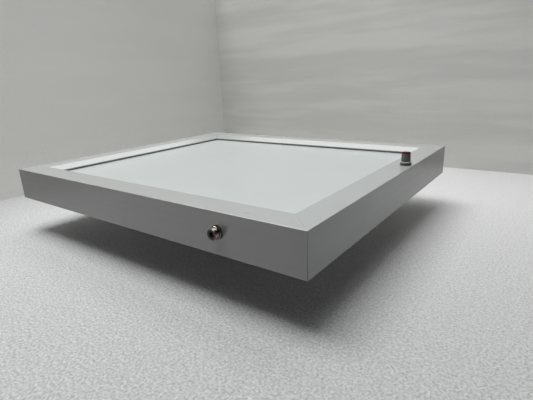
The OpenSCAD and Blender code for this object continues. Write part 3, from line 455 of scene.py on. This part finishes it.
lampSettings = {
    "package": (0.82, 0.81, 0.78), "dark": (0.78, 0.62, 0.12), "light": (0.85, 0.72, 0.22),
    "faceFrom": 0.9, "rough": 0.35, "skinScale": 5000.0, "skinDetail": 2.0, "skinDepth": 0.00001,
}


def lampPhosphor(s):
    # White package with a yellow phosphor face that looks up
    material, tree, surface = newFinish("lampPhosphor", roughness=s["rough"])
    up = axesOf(tree, surfaceNormal(tree))["Z"]
    skin = useGroup(tree, grain, Scale=s["skinScale"], Detail=s["skinDetail"])
    phosphor = mixColor(tree, skin["Height"], s["dark"], s["light"])
    face = mathNode(tree, "GREATER_THAN", up, s["faceFrom"])
    feed(tree, surface, Base_Color=mixColor(tree, face, s["package"], phosphor))
    bumpInto(tree, surface, skin["Height"], s["skinDepth"])
    return material


knobSettings = {
    "gripTop": (0.225, 0.145, 0.145), "gripMiddle": (0.165, 0.158, 0.148),
    "gripFoot": (0.110, 0.118, 0.110), "middleAt": 0.6,  # share of the whole height
    "skirt": (0.27, 0.275, 0.265), "ring": (0.45, 0.46, 0.45), "footShadow": (0.006, 0.006, 0.006),
    "footShadowHeight": 0.0015, "skirtHeight": 0.0038, "gripHeight": 0.0044,  # above the knob's foot
    "smooth": 0.30, "rough": 0.42,
    "skinScale": 3000.0, "skinDetail": 4.0, "skinDepth": 0.000012,
    "blotch": (0.05, 0.05, 0.05), "blotchShare": 0.15,
    "worn": (0.20, 0.20, 0.20), "wornRadius": 0.0003, "wornStrength": 0.35, "wornShare": 0.4,
}


def knobPlastic(s):
    # Dark grip, a little redder under its cap, over a pale ring and a grey skirt; the foot is painted
    # near black, a painted shadow under the knob
    material, tree, surface = newFinish("knobPlastic")
    low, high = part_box("dimmer_knob")
    tall = high.z - low.z
    middle = tall * s["middleAt"]
    height = mathNode(tree, "SUBTRACT", axesOf(tree, objectPlace(tree))["Z"], low.z)

    def above(limit):
        return mathNode(tree, "GREATER_THAN", height, s[limit])

    skin = useGroup(tree, grain, Scale=s["skinScale"], Detail=s["skinDetail"])
    rubbed = useGroup(tree, edge, Radius=s["wornRadius"], Strength=s["wornStrength"])["Mask"]
    lower = ramp(tree, height, s["gripHeight"], middle)
    upper = ramp(tree, height, middle, tall)
    grip = mixColor(tree, lower, s["gripFoot"], s["gripMiddle"])
    grip = mixColor(tree, upper, grip, s["gripTop"])
    ring = mixColor(tree, above("skirtHeight"), s["skirt"], s["ring"])
    # the bottom of the skirt is painted near black: painted shadow at the foot
    shadedFoot = mixColor(tree, above("footShadowHeight"), s["footShadow"], ring)
    tone = mixColor(tree, above("gripHeight"), shadedFoot, grip)
    tone = mixColor(tree, times(tree, skin["Blotch"], s["blotchShare"]), tone, s["blotch"])
    tone = mixColor(tree, times(tree, rubbed, s["wornShare"]), tone, s["worn"])
    gloss = ramp(tree, skin["Height"], 0.0, 1.0, s["smooth"], s["rough"])
    feed(tree, surface, Base_Color=tone, Roughness=gloss)
    bumpInto(tree, surface, skin["Height"], s["skinDepth"])
    return material


capSettings = {
    "dark": (0.062, 0.007, 0.014), "light": (0.080, 0.009, 0.018), "worn": (0.14, 0.03, 0.04),
    "ior": 1.15, "smooth": 0.74, "rough": 0.84,
    "skinScale": 2600.0, "skinDetail": 3.0, "skinDepth": 0.00001,
    "wornRadius": 0.0003, "wornStrength": 0.4,
}


def capPlastic(s):
    # Dark crimson cap, moulded in one colour
    material, tree, surface = newFinish("capPlastic", ior=s["ior"])
    skin = useGroup(tree, grain, Scale=s["skinScale"], Detail=s["skinDetail"])
    rubbed = useGroup(tree, edge, Radius=s["wornRadius"], Strength=s["wornStrength"])["Mask"]
    tone = mixColor(tree, skin["Blotch"], s["dark"], s["light"])
    tone = mixColor(tree, rubbed, tone, s["worn"])
    gloss = ramp(tree, skin["Height"], 0.0, 1.0, s["smooth"], s["rough"])
    feed(tree, surface, Base_Color=tone, Roughness=gloss)
    bumpInto(tree, surface, skin["Height"], s["skinDepth"])
    return material


finishes = {
    "cast_metal": plainMetal(
        "castMetal", (0.40, 0.40, 0.41), (0.52, 0.52, 0.53), 0.45, 0.6, scale=900.0, depth=0.00003,
    ),
    "screw_steel": plainMetal("screwSteel", (0.52, 0.53, 0.55), (0.62, 0.63, 0.65), 0.24, 0.36),
    "black_rubber": moulded("blackRubber", (0.075, 0.078, 0.078), (0.092, 0.095, 0.095), 0.62, 0.78),
    "opal_window": opalWindow(opalSettings),
    "back_sheet": painted("backSheet", (0.74, 0.74, 0.73), (0.78, 0.78, 0.77), 0.38, 0.5),
    "tray_white": painted("trayWhite", (0.84, 0.84, 0.83), (0.88, 0.88, 0.87), 0.45, 0.55),
    "strip_board": painted("stripBoard", (0.80, 0.80, 0.80), (0.84, 0.84, 0.84), 0.3, 0.4),
    "lamp_phosphor": lampPhosphor(lampSettings),
    "connector_plastic": moulded("connectorPlastic", (0.72, 0.70, 0.63), (0.78, 0.76, 0.69), 0.4, 0.5),
    "lead_red": moulded("leadRed", (0.36, 0.018, 0.014), (0.44, 0.026, 0.020), 0.36, 0.46),
    "lead_black": moulded("leadBlack", (0.018, 0.018, 0.019), (0.028, 0.028, 0.029), 0.36, 0.46),
    "lead_yellow": moulded("leadYellow", (0.60, 0.42, 0.04), (0.68, 0.49, 0.06), 0.36, 0.46),
    "nickel": plainMetal(
        "nickelPlate", (0.30, 0.265, 0.22), (0.42, 0.38, 0.325), 0.10, 0.18, wear=0.2, frontShadeShare=0.8,
    ),
    "black_plastic": moulded("blackPlastic", (0.010, 0.010, 0.011), (0.018, 0.018, 0.019), 0.38, 0.5),
    "green_board": moulded("greenBoard", (0.012, 0.11, 0.045), (0.020, 0.16, 0.07), 0.2, 0.3, coat=0.3),
    "terminal_green": moulded("terminalGreen", (0.03, 0.24, 0.07), (0.045, 0.30, 0.09), 0.38, 0.48),
    "brass": plainMetal("brass", (0.56, 0.40, 0.15), (0.70, 0.52, 0.22), 0.18, 0.3),
    "capacitor_sleeve": moulded(
        "capacitorSleeve", (0.012, 0.016, 0.06), (0.02, 0.026, 0.09), 0.2, 0.3, coat=0.2,
    ),
    "phenolic": moulded("phenolic", (0.22, 0.09, 0.03), (0.30, 0.13, 0.05), 0.4, 0.5),
    "knob_plastic": knobPlastic(knobSettings),
    "cap_plastic": capPlastic(capSettings),
}
railMetals = {rail: frameMetal(*look) for rail, look in railFinish["rails"].items()}


def dressNodes():
    for part in frame["record"]["subparts"]:
        name = part["node"]
        mesh = nodes[name].data
        finish = railMetals.get(name) or finishes[part["material_slot"]]
        mesh.materials.clear()
        mesh.materials.append(finish)


dressNodes()
print("finishes applied")


# Small rounding of hard edges, so that they catch the light as real ones do

roundingSettings = {
    "widths": {
        "front_rail": 0.00018, "right_rail": 0.00018, "back_rail": 0.00018, "left_rail": 0.00018,
        "inlet_barrel": 0.0001,
    },
    "joinWithin": 0.000002, "steps": 2, "sharpFrom": 28.0,  # degrees
    "faceWeight": 100,
}


def softenEdges(name, width, s):
    # The faces come apart at their edges, so they are joined before an edge can be rounded
    modifiers = nodes[name].modifiers
    weld = modifiers.new("joinFaces", "WELD")
    weld.merge_threshold = s["joinWithin"]
    bevel = modifiers.new("softEdges", "BEVEL")
    bevel.width = width
    bevel.segments = s["steps"]
    bevel.limit_method = "ANGLE"
    bevel.angle_limit = math.radians(s["sharpFrom"])
    bevel.use_clamp_overlap = True
    bevel.harden_normals = False
    weighted = modifiers.new("faceNormals", "WEIGHTED_NORMAL")
    weighted.weight = s["faceWeight"]
    weighted.keep_sharp = True


for name, width in roundingSettings["widths"].items():
    softenEdges(name, width, roundingSettings)
print("edges softened")


# Studio: pale crinkled floor, two plain grey walls, soft light from above

studio = {
    "floorZ": -0.055, "floorHalf": 4.0,
    "wallX": -0.50, "wallY": 0.515, "wallFront": -0.45, "wallEnd": 1.6, "wallTop": 0.48,
    "floorDark": (0.46, 0.465, 0.47), "floorLight": (0.94, 0.945, 0.95),
    "floorScale": 420.0, "floorDepth": 0.0009, "floorRough": 0.55,
    "floorBounce": (0.215, 0.215, 0.215), "floorFar": (0.98, 0.985, 0.98),
    "farFrom": -0.35, "farTo": 0.50, "farShare": 0.50, "farGlow": 0.04,
    "sideFrom": -0.45, "sideTo": 0.45, "sideShare": 0.24, "sideTone": 0.4,
    "wallTone": (0.64, 0.64, 0.615), "wallDark": 0.97, "wallScale": 520.0, "wallDepth": 0.0004,
    "wallRough": 0.6, "leftWaves": 0.12, "backWaves": 0.8,
    "glowTone": (1.0, 1.0, 0.965, 1), "glowToDiffuse": 0.0, "leftGlow": 0.137, "backGlow": 0.095,
    "cornerReach": 0.7, "cornerGlow": 0.85, "awayGlow": 1.32,
    "lowGlow": 1.42, "highGlow": 0.93, "highAt": 0.35,
    "keyPlace": (-0.45, -0.31, 2.2), "keySize": (1.6, 1.08), "keyPower": 49.0,
    "fillPlace": (0.10, 0.85, 1.9), "fillSize": (1.6, 0.7), "fillPower": 9.0,
    "panelPlace": (-0.45, 0.50, 1.15), "panelSize": (2.4, 1.7), "panelPower": 25.5,
    "stripPlace": (-0.60, -0.74, 1.15), "stripSize": (2.0, 0.36), "stripPower": 22.0,
    "skyTone": (0.96, 0.98, 1.0, 1), "skyLevel": 0.03,
}


waveSettings = {
    "stretch": (0.12, 0.12, 1.0), "scale": 420.0, "detail": 2.0, "tone": 0.8,
}


def flatFinish(name, dark, light, scale, depth, rough, waves=0.0):
    material, tree, surface = newFinish(name, roughness=rough)
    skin = useGroup(tree, grain, Scale=scale, Detail=4.0)
    tone = mixColor(tree, skin["Height"], dark, light)
    if waves:
        # The sheet's faint level waves are painted in as bands of shade
        s = waveSettings
        bands = useGroup(tree, grain, Stretch=s["stretch"], Scale=s["scale"], Detail=s["detail"])
        share = times(tree, bands["Blotch"], waves)
        tone = mixColor(tree, share, tone, shade(dark, s["tone"]))
    feed(tree, surface, Base_Color=tone)
    bumpInto(tree, surface, skin["Height"], depth)
    return material


def finishParts(material):
    tree = material.node_tree
    return tree, tree.nodes["Principled BSDF"]


def ownColor(surface):
    return surface.inputs["Base Color"].links[0].from_socket


def bounceTone(material, tone):
    # The floor throws this tone back as soft light; the camera and reflections see its own colour
    tree, surface = finishParts(material)
    path = addNode(tree, "ShaderNodeLightPath").outputs["Is Diffuse Ray"]
    feed(tree, surface, Base_Color=mixColor(tree, path, ownColor(surface), tone))


def paleFarFloor(material, s):
    # Painted light: paler towards the back wall, where the room is brighter; painted shade: a little
    # darker to the right
    tree, surface = finishParts(material)
    axes = axesOf(tree, objectPlace(tree))
    far = ramp(tree, axes["Y"], s["farFrom"], s["farTo"], smooth=True)
    side = ramp(tree, axes["X"], s["sideFrom"], s["sideTo"], 0.0, s["sideShare"])
    own = mixColor(tree, side, ownColor(surface), shade(s["floorDark"], s["sideTone"]))
    tone = mixColor(tree, times(tree, far, s["farShare"]), own, s["floorFar"])
    feed(tree, surface, Base_Color=tone)
    addGlow(material, times(tree, far, s["farGlow"]), s["glowTone"], 0.0)


def addGlow(material, strength, glowTone, toDiffuse):
    # Even light on the backdrop, seen by the camera and in reflections more than by soft light
    tree, surface = finishParts(material)
    path = addNode(tree, "ShaderNodeLightPath").outputs["Is Diffuse Ray"]
    share = ramp(tree, path, 0.0, 1.0, 1.0, toDiffuse)
    feed(tree, surface, Emission_Strength=times(tree, share, strength))
    surface.inputs["Emission Color"].default_value = glowTone


def oneSided(material):
    # Seen and lit from its inner side only, so that it never hides the viewer in another view
    tree, surface = finishParts(material)
    back = addNode(tree, "ShaderNodeNewGeometry").outputs["Backfacing"]
    clear = addNode(tree, "ShaderNodeBsdfTransparent")
    mix = addNode(tree, "ShaderNodeMixShader", {
        0: back, 1: surface.outputs[0], 2: clear.outputs[0],
    })
    tree.links.new(mix.outputs[0], tree.nodes["Material Output"].inputs["Surface"])


def stagePlane(name, corners, material):
    mesh = bpy.data.meshes.new(name)
    mesh.from_pydata(corners, [], [tuple(range(len(corners)))])
    mesh.materials.append(material)
    plane = bpy.data.objects.new(name, mesh)
    scene.collection.objects.link(plane)


def wallGlow(material, glow, s):
    # Dimmer in the corner of the walls, brighter away from it and near the floor
    tree = material.node_tree
    axes = axesOf(tree, objectPlace(tree))
    along = mathNode(tree, "ADD", axes["X"], s["wallY"] - s["wallX"])
    away = mathNode(tree, "SUBTRACT", along, axes["Y"])
    side = ramp(tree, away, 0.0, s["cornerReach"], s["cornerGlow"], s["awayGlow"], smooth=True)
    height = ramp(tree, axes["Z"], s["floorZ"], s["highAt"], s["lowGlow"], s["highGlow"])
    return times(tree, times(tree, side, height), glow)


def ceilingLamp(name, place, size, power, soft=True, sheen=True):
    data = bpy.data.lights.new(name, "AREA")
    data.shape = "RECTANGLE"
    data.size, data.size_y = size
    data.energy = power
    lamp = bpy.data.objects.new(name, data)
    lamp.location = place
    lamp.visible_diffuse = soft
    lamp.visible_glossy = sheen
    scene.collection.objects.link(lamp)


def makeFloor(s):
    z, half = s["floorZ"], s["floorHalf"]
    finish = flatFinish(
        "floorFinish", s["floorDark"], s["floorLight"],
        s["floorScale"], s["floorDepth"], s["floorRough"],
    )
    paleFarFloor(finish, s)
    bounceTone(finish, s["floorBounce"])
    oneSided(finish)
    corners = [(-half, -half, z), (half, -half, z), (half, half, z), (-half, half, z)]
    stagePlane("floor", corners, finish)


def makeWall(name, corners, glow, waves, s):
    finish = flatFinish(
        name + "Finish", shade(s["wallTone"], s["wallDark"]), s["wallTone"],
        s["wallScale"], s["wallDepth"], s["wallRough"], waves,
    )
    addGlow(finish, wallGlow(finish, glow, s), s["glowTone"], s["glowToDiffuse"])
    oneSided(finish)
    stagePlane(name, corners, finish)


def makeSky(s):
    world = bpy.data.worlds.new("sky")
    world.use_nodes = True
    background = world.node_tree.nodes["Background"]
    background.inputs["Color"].default_value = s["skyTone"]
    background.inputs["Strength"].default_value = s["skyLevel"]
    scene.world = world


def makeStudio(s):
    makeFloor(s)
    x, y, front, end = s["wallX"], s["wallY"], s["wallFront"], s["wallEnd"]
    low, top = s["floorZ"], s["wallTop"]
    leftCorners = [(x, front, low), (x, y, low), (x, y, top), (x, front, top)]
    backCorners = [(x, y, low), (end, y, low), (end, y, top), (x, y, top)]
    makeWall("wallLeft", leftCorners, s["leftGlow"], s["leftWaves"], s)
    makeWall("wallBack", backCorners, s["backGlow"], s["backWaves"], s)
    ceilingLamp("keyLamp", s["keyPlace"], s["keySize"], s["keyPower"], sheen=False)
    ceilingLamp("fillLamp", s["fillPlace"], s["fillSize"], s["fillPower"], sheen=False)
    ceilingLamp("ceilingPanel", s["panelPlace"], s["panelSize"], s["panelPower"], soft=False)
    ceilingLamp("ceilingStrip", s["stripPlace"], s["stripSize"], s["stripPower"], soft=False)
    makeSky(s)
    scene.view_settings.view_transform = "Standard"


makeStudio(studio)
print("studio ready")

bpy.context.view_layer.update()
